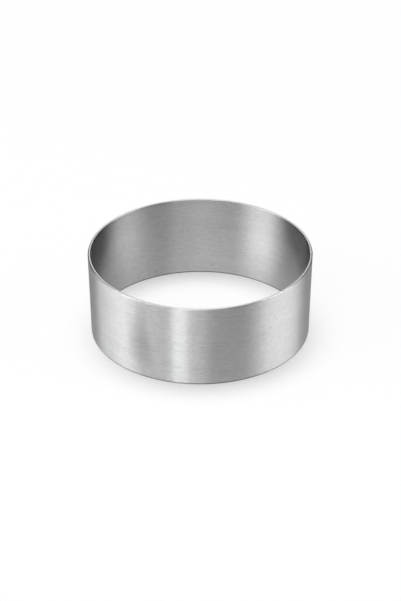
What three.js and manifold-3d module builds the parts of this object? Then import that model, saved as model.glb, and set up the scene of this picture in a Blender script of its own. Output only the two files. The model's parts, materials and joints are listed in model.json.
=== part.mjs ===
// Burger bun ring: a strip of stainless steel rolled into a hoop and closed by one butt weld.
// The wall leans in a little towards the foot, so that a bun slips out and rings nest.
// Millimetres, +Z up. The origin is the centre of the hoop, on the surface that it stands on.
// The weld lies on the +X axis.
import * as THREE from 'three';
import { mergeVertices } from 'three/addons/utils/BufferGeometryUtils.js';
import Module from 'manifold-3d';

// Driving dimensions
const rimDiameter = 104; // over the upper rim
const footDiameter = 102.3; // over the lower rim
const bandHeight = 40; // from rim to rim
const wallThickness = 1.5; // gauge of the strip
const edgeRadius = 0.5; // broken edges of the strip, at both rims
const weldWidth = 1.8; // between the two ends of the strip
const weldCrown = 0.12; // how far the dressed bead stands proud of the wall, outside and inside

// Facets
const hoopSegments = 144; // round the hoop
const edgeSegments = 1; // in each half of a broken edge
const crownSegments = 6; // across the bead

// Finishes
const brushedSteel = { color: 0xb4b5b4, roughness: 0.38, metalness: 1 };
const weldSteel = { color: 0xa9a8a5, roughness: 0.46, metalness: 1 };

const rimRadius = rimDiameter / 2;
const footRadius = footDiameter / 2;
const cornerRadius = Math.min(edgeRadius, 0.45 * wallThickness); // leaves a flat on each rim

const wasm = await Module();
wasm.setup();

// A closed geometry as a solid that can be cut.
function solidFrom(geometry) {
  const bare = geometry.clone();
  bare.deleteAttribute('normal');
  bare.deleteAttribute('uv');
  const merged = mergeVertices(bare);
  return new wasm.Manifold(
    new wasm.Mesh({
      numProp: 3,
      vertProperties: new Float32Array(merged.attributes.position.array),
      triVerts: new Uint32Array(merged.index.array),
    }),
  );
}

function geometryFrom(solid) {
  const { vertProperties, triVerts } = solid.getMesh();
  const geometry = new THREE.BufferGeometry();
  geometry.setAttribute('position', new THREE.BufferAttribute(vertProperties, 3));
  geometry.setIndex(new THREE.BufferAttribute(triVerts, 1));
  geometry.computeVertexNormals();
  return geometry;
}

// Distance from the hoop's axis to the outer face of the wall, at a height.
function outerRadius(height) {
  return THREE.MathUtils.mapLinear(height, 0, bandHeight, footRadius, rimRadius);
}

// Cross-section of the strip: x is the distance from the hoop's axis, y the height. Both rims are level.
function stripSection() {
  const upright = new THREE.Shape();
  const quarter = Math.PI / 2;
  const [left, right] = [cornerRadius - wallThickness, -cornerRadius];
  const [low, high] = [cornerRadius, bandHeight - cornerRadius];
  upright.absarc(right, low, cornerRadius, -quarter, 0, false);
  upright.absarc(right, high, cornerRadius, 0, quarter, false);
  upright.absarc(left, high, cornerRadius, quarter, 2 * quarter, false);
  upright.absarc(left, low, cornerRadius, 2 * quarter, 3 * quarter, false);
  upright.closePath();
  return upright.getPoints(edgeSegments).map(({ x, y }) => new THREE.Vector2(outerRadius(y) + x, y));
}

// The strip, rolled: its section revolved into a hoop, less the gap between its two ends.
function rolledBand() {
  const hoop = new THREE.LatheGeometry(stripSection(), hoopSegments);
  hoop.rotateX(Math.PI / 2);
  const gap = new THREE.BoxGeometry(rimRadius, weldWidth, 2 * bandHeight);
  gap.translate(rimRadius, 0, bandHeight / 2);
  return geometryFrom(solidFrom(hoop).subtract(solidFrom(gap)));
}

// The weld metal: the strip's own section carried across the gap along the hoop, swelling to a low crown.
function seamWeld() {
  const bead = new THREE.ExtrudeGeometry(new THREE.Shape(stripSection()), {
    depth: weldWidth,
    steps: crownSegments,
    bevelEnabled: false,
  });
  bead.translate(0, 0, -weldWidth / 2);
  bead.rotateX(Math.PI / 2);
  const points = bead.attributes.position;
  for (let i = 0; i < points.count; i++) {
    const y = points.getY(i);
    const middle = outerRadius(points.getZ(i)) - wallThickness / 2;
    const swell = 1 - (2 * y / weldWidth) ** 2;
    const stretch = 1 + swell * weldCrown / (wallThickness / 2);
    const radius = middle + stretch * (points.getX(i) - middle);
    points.setX(i, Math.sqrt(radius ** 2 - y ** 2));
  }
  return geometryFrom(solidFrom(bead));
}

function piece(name, geometry, finish) {
  const mesh = new THREE.Mesh(geometry, new THREE.MeshStandardMaterial(finish));
  mesh.name = name;
  return mesh;
}

const bunRing = new THREE.Group();
bunRing.add(piece('rolled_band', rolledBand(), brushedSteel));
bunRing.add(piece('seam_weld', seamWeld(), weldSteel));

export default bunRing;
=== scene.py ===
# Burger bun ring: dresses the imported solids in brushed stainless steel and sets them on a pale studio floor.
import json
import math

import bmesh
import bpy
from mathutils import Matrix, Vector


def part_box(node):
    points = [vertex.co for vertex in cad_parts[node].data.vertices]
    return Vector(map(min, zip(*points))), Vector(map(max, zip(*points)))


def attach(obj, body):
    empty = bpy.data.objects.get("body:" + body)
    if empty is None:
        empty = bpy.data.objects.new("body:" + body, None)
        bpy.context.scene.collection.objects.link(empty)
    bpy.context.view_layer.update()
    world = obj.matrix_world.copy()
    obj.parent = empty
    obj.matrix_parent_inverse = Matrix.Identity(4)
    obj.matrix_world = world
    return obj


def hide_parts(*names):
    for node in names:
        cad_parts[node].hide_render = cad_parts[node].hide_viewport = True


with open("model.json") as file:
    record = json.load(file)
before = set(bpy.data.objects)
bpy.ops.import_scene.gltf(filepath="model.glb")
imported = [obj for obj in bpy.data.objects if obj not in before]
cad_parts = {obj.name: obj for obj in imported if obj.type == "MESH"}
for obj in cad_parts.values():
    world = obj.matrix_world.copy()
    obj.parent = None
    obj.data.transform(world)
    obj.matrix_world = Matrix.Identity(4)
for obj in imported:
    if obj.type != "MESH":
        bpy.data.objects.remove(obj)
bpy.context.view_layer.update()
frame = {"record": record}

# Where the ring's wall runs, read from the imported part
mm = 0.001
mounts = {mount["name"]: Vector(mount["pos_m"]) for mount in frame["record"]["mounts"]}
footMiddle = abs(mounts["standing_rim"].y)  # radius of the middle of the wall, at the foot and at the rim
rimMiddle = abs(mounts["upper_rim"].y)
height = mounts["upper_rim"].z
seamTurn = math.asin(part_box("seam_weld")[1].y / rimMiddle)  # half the weld's width, as an angle
print("ring", round(2 * rimMiddle / mm, 2), "mm across the middle of its rim and",
      round(height / mm, 2), "mm high")


class Wire:  # one value in a material, with the sums that add Math nodes
    def __init__(self, finish, socket):
        self.finish = finish
        self.socket = socket

    def sum(self, operation, first, second):
        return self.finish.add("ShaderNodeMath", {"operation": operation}, {0: first, 1: second})

    def __add__(self, other):
        return self.sum("ADD", self, other)

    def __radd__(self, other):
        return self.sum("ADD", other, self)

    def __sub__(self, other):
        return self.sum("SUBTRACT", self, other)

    def __rsub__(self, other):
        return self.sum("SUBTRACT", other, self)

    def __mul__(self, other):
        return self.sum("MULTIPLY", self, other)

    def __rmul__(self, other):
        return self.sum("MULTIPLY", other, self)

    def __abs__(self):
        return self.sum("ABSOLUTE", self, 0)

    def out(self, name):  # another output of the same node
        return Wire(self.finish, self.socket.node.outputs[name])


class Finish:  # a node material under construction
    def __init__(self, name):
        self.material = bpy.data.materials.new(name)
        self.material.use_nodes = True
        self.tree = self.material.node_tree
        self.tree.nodes.clear()

    def add(self, kind, settings=None, sockets=None, out=0):
        node = self.tree.nodes.new(kind)
        for name, value in (settings or {}).items():
            setattr(node, name, value)
        for name, value in (sockets or {}).items():
            if isinstance(value, Wire):
                self.tree.links.new(value.socket, node.inputs[name])
            else:
                node.inputs[name].default_value = value
        return Wire(self, node.outputs[out]) if len(node.outputs) else node


def fade(finish, value, start, end):  # 0 before start, 1 after end, smooth between
    return finish.add("ShaderNodeMapRange", {"interpolation_type": "SMOOTHSTEP"}, {
        "Value": value,
        "From Min": start,
        "From Max": end,
    })


grain = {
    "detail": 2,
    "roughness": 0.6,
}


def hairlines(finish, spot, lengths, shift):  # streaks of these lengths along x, y and z, from -0.5 to 0.5
    stretched = finish.add("ShaderNodeMapping", None, {
        "Vector": spot,
        "Location": (shift, shift, shift),
        "Scale": tuple(1 / length for length in lengths),
    })
    noise = finish.add("ShaderNodeTexNoise", None, {
        "Vector": stretched,
        "Scale": 1,
        "Detail": grain["detail"],
        "Roughness": grain["roughness"],
    })
    return noise - 0.5


def grey(finish, value):
    return finish.add("ShaderNodeCombineColor", None, {"Red": value, "Green": value, "Blue": value})


# The Mix node's two colours and its mixed colour, by number, because its sockets share their names
firstColour = 6
secondColour = 7
mixedColour = 2


def tinted(finish, colour, shade):  # a colour made lighter or darker by a value near 1
    return finish.add("ShaderNodeMix", {"data_type": "RGBA", "blend_type": "MULTIPLY"}, {
        "Factor": 1.0,
        firstColour: (*colour, 1),
        secondColour: grey(finish, shade),
    }, out=mixedColour)


def mixed(finish, share, first, second):
    return finish.add("ShaderNodeMix", {"data_type": "RGBA"}, {
        "Factor": share,
        firstColour: first,
        secondColour: (*second, 1),
    }, out=mixedColour)


band = {
    "wall": 1.5 * mm,
    "edgeRadius": 0.5 * mm,
    "edgeSegments": 8,
    "steps": 360,
    "holdingLoop": 0.1 * mm,  # keeps the wall flat up to its broken edge
}

brushing = {
    "colour": (0.49, 0.496, 0.492),
    "slantTint": (0.60, 0.60, 0.60, 1),  # of the steel seen at a slant
    "colourSwing": 1.12,
    "roughness": 0.42,
    "roughnessSwing": 0.12,
    "anisotropy": 1.0,
    "turn": 0.25,  # highlights spread across the brushing, up and down the wall
    "fine": (2.2 * mm, 2.2 * mm, 0.25 * mm),
    "middle": (7 * mm, 7 * mm, 0.5 * mm),
    "broad": (40 * mm, 40 * mm, 4 * mm),
    "shares": (0.6, 0.25, 0.15),  # of the fine, middle and broad streaks
    "shifts": (3.1, 11.7, 5.3),  # so that the three don't repeat each other
    "depth": 0.012 * mm,
    "bump": 0.35,
    "bumpEnd": (1.0, 1.3),  # in edge radii below the rim, where the brushing starts
    "dressed": (7 * mm, 2 * mm),  # the sanded zone beside the weld, towards the seam
    "dressedSide": (0, 10 * mm),  # on the weld's side of the ring alone
    "dressedShade": 0.05,
    "dressedRoughness": 0.04,
}

# The lines where the walls turn over, painted in colours of their own: the outer corner lighter as a painted
# highlight, the inner corner and the foot darker as painted shade, and the rim's flat lighter, partly its bare
# cut finish and partly a painted highlight. Each has a colour, and fades in between two distances from the
# rim, or from the foot, in edge radii.
edges = {
    # painted highlight along the rim's outer corner
    "outer": (0.70, 0.702, 0.70),
    "outerReach": (0.37, 0.2),
    "outerSideHighlight": (0.88, 0.882, 0.88),  # painted highlight, brighter at the front's two sides, placed by the next three entries
    "sideShift": 0.14 * rimMiddle,
    "sideReach": (0.54 * rimMiddle, 0.74 * rimMiddle),
    "frontReach": (-0.2 * rimMiddle, -0.5 * rimMiddle),
    # painted shade: a darker line along the rim's inner corner
    "inner": (0.34, 0.342, 0.34),
    "innerReach": (1.2, 0.8),
    "innerBackHighlight": (0.58, 0.582, 0.58),  # painted highlight, brighter at the back, placed by backReach
    "innerBackHighlightReach": (0.8, 0.5),
    "backReach": (0.3 * rimMiddle, 0.6 * rimMiddle),
    "insideReach": (rimMiddle, rimMiddle - 0.1 * band["wall"]),
    # painted shade: a dark line at the foot, standing in for the shadow reflected where the ring meets the
    # floor
    "foot": (0.17, 0.172, 0.17),
    "footShadeReach": (1.75, 0.95),
    "cut": (0.78, 0.782, 0.78),  # the flat of the rim, lighter than the wall: partly its bare cut finish, partly a painted highlight
    "cutReach": (0.03, 0.01),
    "roughness": 0.21,
}


def belowRim(finish, place, start, end):
    radius = band["edgeRadius"]
    return fade(finish, place.out("Z"), height - start * radius, height - end * radius)


def edgedWithPaintedLight(finish, spot, place, colour, rough):  # adds the lines of painted highlight and painted shade, and smooths the corner and the cut edge
    flat = finish.add("ShaderNodeVectorMath", {"operation": "MULTIPLY"}, {0: spot, 1: (1, 1, 0)})
    reach = finish.add("ShaderNodeVectorMath", {"operation": "LENGTH"}, {0: flat}, out="Value")
    inside = fade(finish, reach, *edges["insideReach"])
    side = fade(finish, abs(place + edges["sideShift"]), *edges["sideReach"])
    front = fade(finish, place.out("Y"), *edges["frontReach"])
    back = fade(finish, place.out("Y"), *edges["backReach"])
    outer = belowRim(finish, place, *edges["outerReach"])
    inner = belowRim(finish, place, *edges["innerReach"]) * inside
    innerBackHighlight = belowRim(finish, place, *edges["innerBackHighlightReach"]) * inside * back
    footStart, footEnd = edges["footShadeReach"]
    foot = fade(finish, place.out("Z"), footStart * band["edgeRadius"], footEnd * band["edgeRadius"])
    # painted light: highlights on the outer corner, brighter at the front's sides, and on the inner corner at
    # the back; painted shade on the inner corner and the foot; the rim's flat lighter, partly as a painted
    # highlight
    colour = mixed(finish, outer, colour, edges["outer"])
    colour = mixed(finish, outer * side * front, colour, edges["outerSideHighlight"])
    colour = mixed(finish, inner, colour, edges["inner"])
    colour = mixed(finish, innerBackHighlight, colour, edges["innerBackHighlight"])
    colour = mixed(finish, foot, colour, edges["foot"])
    colour = mixed(finish, belowRim(finish, place, *edges["cutReach"]), colour, edges["cut"])
    return colour, rough + outer * (edges["roughness"] - rough)


def steel(finish, colour, rough, bump):
    metal = finish.add("ShaderNodeBsdfPrincipled", {"distribution": "MULTI_GGX"}, {
        "Base Color": colour,
        "Metallic": 1.0,
        "Roughness": rough,
        "Anisotropic": brushing["anisotropy"],
        "Anisotropic Rotation": brushing["turn"],
        "Specular Tint": brushing["slantTint"],
        "Normal": bump,
    })
    finish.add("ShaderNodeOutputMaterial", None, {"Surface": metal})
    return finish.material


def brushedSteel():
    finish = Finish("brushed_steel")
    spot = finish.add("ShaderNodeTexCoord", out="Object")
    place = finish.add("ShaderNodeSeparateXYZ", None, {"Vector": spot})
    fineShift, middleShift, broadShift = brushing["shifts"]
    fine = hairlines(finish, spot, brushing["fine"], fineShift)
    middle = hairlines(finish, spot, brushing["middle"], middleShift)
    broad = hairlines(finish, spot, brushing["broad"], broadShift)
    fineShare, middleShare, broadShare = brushing["shares"]
    streak = fine * fineShare + middle * middleShare + broad * broadShare
    dressed = fade(finish, abs(place.out("Y")), *brushing["dressed"])
    dressed = dressed * fade(finish, place, *brushing["dressedSide"])
    shade = 1 + streak * brushing["colourSwing"] - dressed * brushing["dressedShade"]
    colour = tinted(finish, brushing["colour"], shade)
    rough = brushing["roughness"] + streak * brushing["roughnessSwing"]
    rough = rough + dressed * brushing["dressedRoughness"]
    colour, rough = edgedWithPaintedLight(finish, spot, place, colour, rough)
    bump = finish.add("ShaderNodeBump", None, {
        "Strength": brushing["bump"],
        "Distance": brushing["depth"],
        "Height": (fine + middle) * belowRim(finish, place, *brushing["bumpEnd"]),
    })
    return steel(finish, colour, rough, bump)


mergeDistance = 0.0005 * mm
hardEdge = math.radians(40)


def finished(name, bm, materials):
    bmesh.ops.remove_doubles(bm, verts=bm.verts[:], dist=mergeDistance)
    bmesh.ops.recalc_face_normals(bm, faces=bm.faces[:])
    for face in bm.faces:
        face.smooth = True
    for edge in bm.edges:
        edge.smooth = edge.calc_face_angle(0) < hardEdge
    mesh = bpy.data.meshes.new(name)
    bm.to_mesh(mesh)
    bm.free()
    for material in materials:
        mesh.materials.append(material)
    piece = bpy.data.objects.new(name, mesh)
    bpy.context.scene.collection.objects.link(piece)
    print(name, len(mesh.polygons), "faces")
    return piece


def stripSection(bm):  # the strip's cross-section, as one face over the +X axis
    half = band["wall"] / 2
    foot = [(footMiddle - half, 0), (footMiddle + half, 0)]
    rim = [(rimMiddle + half, height), (rimMiddle - half, height)]
    verts = [bm.verts.new((x, 0, z)) for x, z in foot + rim]
    bm.faces.new(verts)
    bmesh.ops.bevel(bm, geom=verts, offset=band["edgeRadius"], offset_type="OFFSET", affect="VERTICES",
                    segments=band["edgeSegments"], profile=0.5, material=-1)
    loop = band["edgeRadius"] + band["holdingLoop"]
    for z in (loop, height - loop):
        bmesh.ops.bisect_plane(bm, geom=bm.verts[:] + bm.edges[:] + bm.faces[:], plane_co=(0, 0, z),
                               plane_no=(0, 0, 1))


def swept(bm, start, angle, steps):  # carries the section round the ring's axis
    bmesh.ops.rotate(bm, verts=bm.verts[:], cent=(0, 0, 0), matrix=Matrix.Rotation(start, 3, "Z"))
    bmesh.ops.spin(bm, geom=bm.verts[:] + bm.edges[:] + bm.faces[:], cent=(0, 0, 0), axis=(0, 0, 1),
                   angle=angle, steps=steps, use_merge=False)


def rolledBand():
    bm = bmesh.new()
    stripSection(bm)
    swept(bm, seamTurn, 2 * math.pi - 2 * seamTurn, band["steps"])
    return finished("rolled_band_steel", bm, [brushedSteel()])


bandPiece = rolledBand()
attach(bandPiece, "root")
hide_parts("rolled_band")

weld = {
    "crown": 0.12 * mm,
    "steps": 16,
    "colour": (0.452, 0.456, 0.452),
    "roughness": 0.46,
    "marks": (0.16 * mm, 0.16 * mm, 6 * mm),  # from sanding along the seam
    "marksShift": 7.9,
    "marksShade": 0.16,
    "marksRoughness": 0.1,
    "ripple": 0.9 * mm,  # pitch of the bead's ripples up the seam
    "rippleBend": 0.6,
    "rippleDetail": 1,
    "rippleDepth": 0.02 * mm,
    "rippleShade": 0.06,
    "bump": 0.5,
}


def dressedWeld():
    finish = Finish("dressed_weld")
    spot = finish.add("ShaderNodeTexCoord", out="Object")
    place = finish.add("ShaderNodeSeparateXYZ", None, {"Vector": spot})
    marks = hairlines(finish, spot, weld["marks"], weld["marksShift"])
    ripple = finish.add("ShaderNodeTexWave", {"wave_type": "BANDS", "bands_direction": "Z"}, {
        "Vector": spot,
        "Scale": math.pi / 10 / weld["ripple"],  # at a scale of 1 the waves are pi / 10 apart
        "Distortion": weld["rippleBend"],
        "Detail": weld["rippleDetail"],
    }, out="Fac")
    bump = finish.add("ShaderNodeBump", None, {
        "Strength": weld["bump"],
        "Distance": weld["rippleDepth"],
        "Height": ripple + marks,
    })
    shade = 1 + marks * weld["marksShade"] + ripple * weld["rippleShade"]
    colour = tinted(finish, weld["colour"], shade)
    rough = weld["roughness"] + marks * weld["marksRoughness"]
    # the weld's rim and foot get the same painted highlight and shade lines as the band
    colour, rough = edgedWithPaintedLight(finish, spot, place, colour, rough)
    return steel(finish, colour, rough, bump)


def seamWeld():
    bm = bmesh.new()
    stripSection(bm)
    swept(bm, -seamTurn, 2 * seamTurn, weld["steps"])
    for vert in bm.verts:  # swells the bead about the middle of the wall, most along its own middle
        turn = math.atan2(vert.co.y, vert.co.x)
        out = Vector((math.cos(turn), math.sin(turn), 0))
        middle = footMiddle + (rimMiddle - footMiddle) * vert.co.z / height
        swell = 1 - (turn / seamTurn) ** 2
        vert.co += out * (vert.co.dot(out) - middle) * swell * weld["crown"] / (band["wall"] / 2)
    return finished("seam_weld_bead", bm, [dressedWeld()])


weldPiece = seamWeld()
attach(weldPiece, "root")
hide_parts("seam_weld")

ground = {
    "radius": 3.2,
    "segments": 96,
    "colour": (0.88, 0.88, 0.88, 1),
    "white": 0.92,  # share of plain white in what the camera and the steel see
    "shade": 0.75,  # how dark that white gets at the ring's foot, for the camera
    "shadeReach": 18 * mm,
    "shadeEnd": (250 * mm, 125 * mm),  # from the ring's axis: no shade beyond the first distance
    "shadeSamples": 6,
    "lean": (-0.12, 0.6, 0.79),  # the way that the shaded white looks, so that the shade falls in front
}


def paleFloor():
    finish = Finish("pale_floor")
    ray = finish.add("ShaderNodeLightPath", out="Is Camera Ray")
    seen = ray + ray.out("Is Glossy Ray") + ray.out("Is Transmission Ray")
    x, y, z = ground["lean"]
    clear = finish.add("ShaderNodeAmbientOcclusion", {"samples": ground["shadeSamples"]}, {
        "Distance": ground["shadeReach"],
        "Normal": finish.add("ShaderNodeCombineXYZ", None, {"X": x, "Y": y, "Z": z}),
    }, out="AO")
    cloth = finish.add("ShaderNodeBsdfDiffuse", None, {"Color": ground["colour"]})
    spot = finish.add("ShaderNodeTexCoord", out="Object")
    reach = finish.add("ShaderNodeVectorMath", {"operation": "LENGTH"}, {0: spot}, out="Value")
    near = fade(finish, reach, *ground["shadeEnd"])
    shade = (1 - clear) * (1 - clear) * near * ray * ground["shade"]
    white = finish.add("ShaderNodeEmission", None, {"Color": grey(finish, 1 - shade)})
    surface = finish.add("ShaderNodeMixShader", None, {0: seen * ground["white"], 1: cloth, 2: white})
    finish.add("ShaderNodeOutputMaterial", None, {"Surface": surface})
    bm = bmesh.new()
    bmesh.ops.create_circle(bm, cap_ends=True, segments=ground["segments"], radius=ground["radius"])
    return finished("floor", bm, [finish.material])


paleFloor()

# A light tent round the floor: dark cloth with lit panels. Each panel runs between two bearings, in degrees
# to the right of the camera, and between two heights above the floor, in degrees. Then come its brightness
# and the width of its fading sides.
tent = {
    "radius": 3.0,
    "foot": 40 * mm,  # its lower edge hangs clear of the floor
    "cloth": (0.01, 0.01, 0.01, 1),
    "segments": (144, 60),
    "softHeight": 4,  # of the panels' upper and lower edges, in degrees
    "panels": {
        "leftMiddle": (-90, -52, 14, 36, 7.4, 22),
        "leftHigh": (-88, -45, 33, 55, 2.2, 12),
        "rightMiddle": (66, 104, 12, 33, 3.7, 20),
        "rightFill": (24, 53, 12, 33, 0.5, 8),
        "leftRear": (-150, -100, 46, 61, 1.1, 10),
        "leftRearLow": (-150, -110, 32, 46, 0.45, 8),
        "rightRear": (88, 150, 46, 61, 1.3, 10),
        "rightRearLow": (110, 150, 32, 46, 0.45, 8),
        "frontLow": (-10, 10, 8, 30, 0.6, 6),
        "front": (-50, 33, 30, 58, 1.7, 4),
        "frontHigh": (-40, 40, 46, 70, 1.8, 10),
        "rear": (171, 189, 10, 56, 1.2, 4),
        "overhead": (-400, 600, 60, 100, 0.8, 4),  # all round
    },
}


def bearing(point):
    return math.degrees(math.atan2(point.x, -point.y))


def faded(inwards, soft):  # 0 to 1 over a width of soft, and half at the edge itself
    return max(0, min(1, inwards / soft + 0.5))


def panelGlow(point):
    rise = math.degrees(math.asin(min(1, point.z / point.length)))
    glow = 0
    for left, right, low, high, level, soft in tent["panels"].values():
        turn = bearing(point)
        if turn + 360 < right + soft:
            turn += 360
        sideways = faded(min(turn - left, right - turn), soft)
        upright = faded(min(rise - low, high - rise), tent["softHeight"])
        glow += level * sideways * upright
    return glow


def litCloth():
    finish = Finish("lit_cloth")
    glow = finish.add("ShaderNodeAttribute", {"attribute_name": "glow"}, out="Color")
    finish.add("ShaderNodeOutputMaterial", None, {
        "Surface": finish.add("ShaderNodeEmission", None, {"Color": glow}),
    })
    return finish.material


def darkCloth():
    finish = Finish("dark_cloth")
    finish.add("ShaderNodeOutputMaterial", None, {
        "Surface": finish.add("ShaderNodeBsdfDiffuse", None, {"Color": tent["cloth"]}),
    })
    return finish.material


def lightTent():
    bm = bmesh.new()
    around, up = tent["segments"]
    bmesh.ops.create_uvsphere(bm, u_segments=around, v_segments=up, radius=tent["radius"])
    bmesh.ops.bisect_plane(bm, geom=bm.verts[:] + bm.edges[:] + bm.faces[:], plane_co=(0, 0, tent["foot"]),
                           plane_no=(0, 0, 1), clear_inner=True)
    layer = bm.verts.layers.float.new("glow")
    for vert in bm.verts:
        vert[layer] = panelGlow(vert.co)
    for face in bm.faces:
        face.material_index = 0 if any(vert[layer] > 0 for vert in face.verts) else 1
    cloth = finished("light_tent", bm, [litCloth(), darkCloth()])
    cloth.visible_camera = False
    return cloth


lightTent()

# Low strip lights on a circle round the ring, lower than its rim, so that they light only the outside. Each
# runs between two bearings, then come its brightness and the widths of its fading left and right ends.
strips = {
    "distance": 0.45,
    "low": 2 * mm,
    "high": 38 * mm,
    "left": -170,
    "right": 170,
    "steps": 340,
    "lamps": {
        "leftRear": (-160, -112, 1.8, 12, 12),
        "left": (-110, -74, 16.0, 12, 18),
        "besideKey": (-48, -27, 4.2, 6, 6),
        "key": (-25.5, -12, 27.0, 1, 8),
        "keyTail": (-12, 4, 3.0, 10, 10),
        "right": (50, 108, 12.0, 20, 14),
        "rightRear": (112, 160, 2.0, 12, 12),
    },
}


def stripGlow(point):
    turn = bearing(point)
    glow = 0
    for left, right, level, softLeft, softRight in strips["lamps"].values():
        glow += level * min(faded(turn - left, softLeft), faded(right - turn, softRight))
    return glow


def arc(distance, low, high, left, right, steps):  # an upright band round the ring, between two bearings
    bm = bmesh.new()
    ends = [bm.verts.new((0, -distance, z)) for z in (low, high)]
    edge = bm.edges.new(ends)
    turn = Matrix.Rotation(math.radians(left), 3, "Z")
    bmesh.ops.rotate(bm, verts=ends, cent=(0, 0, 0), matrix=turn)
    bmesh.ops.spin(bm, geom=ends + [edge], cent=(0, 0, 0), axis=(0, 0, 1), angle=math.radians(right - left),
                   steps=steps, use_merge=False)
    return bm


def hidden(card):  # shows in the steel, but not to the camera or on the floor
    card.visible_camera = False
    card.visible_diffuse = False


def stripLights():
    bm = arc(strips["distance"], strips["low"], strips["high"], strips["left"], strips["right"],
             strips["steps"])
    layer = bm.verts.layers.float.new("glow")
    for vert in bm.verts:
        vert[layer] = stripGlow(vert.co)
    unlit = [face for face in bm.faces if all(vert[layer] == 0 for vert in face.verts)]
    bmesh.ops.delete(bm, geom=unlit, context="FACES")
    return finished("strip_lights", bm, [litCloth()])


hidden(stripLights())

# Dark flags that keep the high panels off parts of the outer wall, and let the inner wall see over them. Each
# runs between two bearings and two heights, and its top slopes down to both ends.
flags = {
    "distance": 100 * mm,
    "steps": 48,
    "slope": 10,  # degrees
    "endHeight": 0.01,  # share of the height that is left at the ends
    "cards": {
        "front_flag": (1, 37, 42 * mm, 108 * mm),
        "left_flag": (-58, -33, 28 * mm, 58 * mm),
    },
}


def darkFlag(name, left, right, low, high):
    bm = arc(flags["distance"], low, high, left, right, flags["steps"])
    for vert in bm.verts:
        turn = bearing(vert.co)
        share = min(1, (turn - left) / flags["slope"], (right - turn) / flags["slope"])
        vert.co.z = low + (vert.co.z - low) * max(flags["endHeight"], share)
    return finished(name, bm, [darkCloth()])


for name, sizes in flags["cards"].items():
    hidden(darkFlag(name, *sizes))

world = bpy.data.worlds.new("studio")
bpy.context.scene.world = world
world.use_nodes = True
world.node_tree.nodes["Background"].inputs["Color"].default_value = (1, 1, 1, 1)

shot = {
    "pitch": 31.0,  # degrees below the horizon
    "distance": 996 * mm,
    "aim": (0.16 * mm, 0, 13.56 * mm),
    "focalPixels": 2124.8,
    "imageHeight": 601,
    "sensor": 36,
    "clipEnd": 20,
}


def studioCamera():
    lens = bpy.data.cameras.new("studio_camera")
    lens.sensor_width = shot["sensor"]
    lens.lens = shot["sensor"] * shot["focalPixels"] / shot["imageHeight"]
    lens.clip_end = shot["clipEnd"]
    camera = bpy.data.objects.new("studio_camera", lens)
    bpy.context.scene.collection.objects.link(camera)
    pitch = math.radians(shot["pitch"])
    back = Vector((0, -math.cos(pitch), math.sin(pitch)))
    camera.location = Vector(shot["aim"]) + back * shot["distance"]
    camera.rotation_euler = (math.pi / 2 - pitch, 0, 0)
    bpy.context.scene.camera = camera
    print("camera", shot["pitch"], "degrees down, with a lens of", round(lens.lens, 1), "mm")


studioCamera()
bpy.context.scene.view_settings.view_transform = "Standard"
